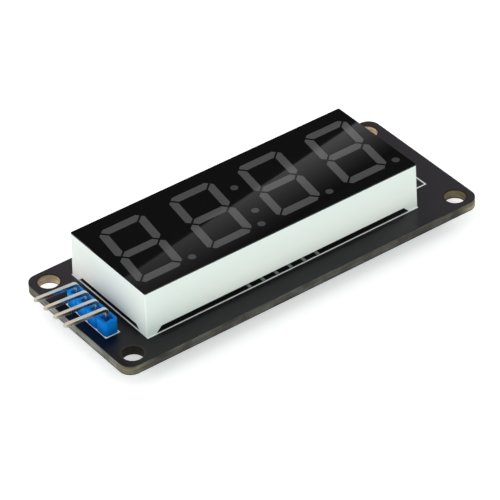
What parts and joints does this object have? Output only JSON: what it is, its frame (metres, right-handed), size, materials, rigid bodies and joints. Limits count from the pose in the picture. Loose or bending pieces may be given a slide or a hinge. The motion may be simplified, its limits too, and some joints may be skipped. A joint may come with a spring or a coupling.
{
  "type": "seven segment display module",
  "caption": "Clock display on a small circuit board: white case, glossy black face with leaning segment digits and a colon, bent pin header, corner mounting holes.",
  "frame": {"origin": "centre of the mounting-hole rectangle on the underside of the circuit board", "axes": "+X along the board away from the pin header, +Y towards the tops of the digits, +Z out of the display's face"},
  "size_m": [0.0705, 0.027, 0.0124],
  "materials": {
    "board_laminate": "dark solder mask on glass-fibre laminate",
    "case_plastic": "moulded white, satin",
    "face_film": "black, glossy",
    "segment_resin": "smoky, milky resin",
    "carrier_laminate": "bare laminate",
    "light_chip": "cut crystal",
    "solder": "tin, satin",
    "header_plastic": "blue, satin",
    "chip_plastic": "fine moulded grain",
    "tinned_lead": "matt tin",
    "tinned_pin": "matt tin",
    "header_pin": "plated, satin",
    "resistor_body": "black glaze",
    "capacitor_body": "fired, matt",
    "tinned_terminal": "matt tin"
  },
  "bodies": {
    "root": {"circuit_board": "board_laminate", "display_case": "case_plastic", "face_film": "face_film", "potting_resin": "segment_resin", "led_carrier": "carrier_laminate", "led_chips": "light_chip", "display_solder_joints": "solder", "header_solder_joints": "solder", "header_block": "header_plastic", "driver_chip": "chip_plastic", "driver_leads": "tinned_lead", "display_pin_1": "tinned_pin", "display_pin_2": "tinned_pin", "display_pin_3": "tinned_pin", "display_pin_4": "tinned_pin", "display_pin_5": "tinned_pin", "display_pin_6": "tinned_pin", "display_pin_7": "tinned_pin", "display_pin_8": "tinned_pin", "display_pin_9": "tinned_pin", "display_pin_10": "tinned_pin", "display_pin_11": "tinned_pin", "display_pin_12": "tinned_pin", "header_pin_1": "header_pin", "header_pin_2": "header_pin", "header_pin_3": "header_pin", "header_pin_4": "header_pin", "pull_up_resistor_1": "resistor_body", "pull_up_resistor_2": "resistor_body", "filter_capacitor_1": "capacitor_body", "filter_capacitor_2": "capacitor_body", "storage_capacitor": "capacitor_body", "supply_capacitor": "capacitor_body", "pull_up_resistor_1_terminals": "tinned_terminal", "pull_up_resistor_2_terminals": "tinned_terminal", "filter_capacitor_1_terminals": "tinned_terminal", "filter_capacitor_2_terminals": "tinned_terminal", "storage_capacitor_terminals": "tinned_terminal", "supply_capacitor_terminals": "tinned_terminal"}
  },
  "joints": []
}
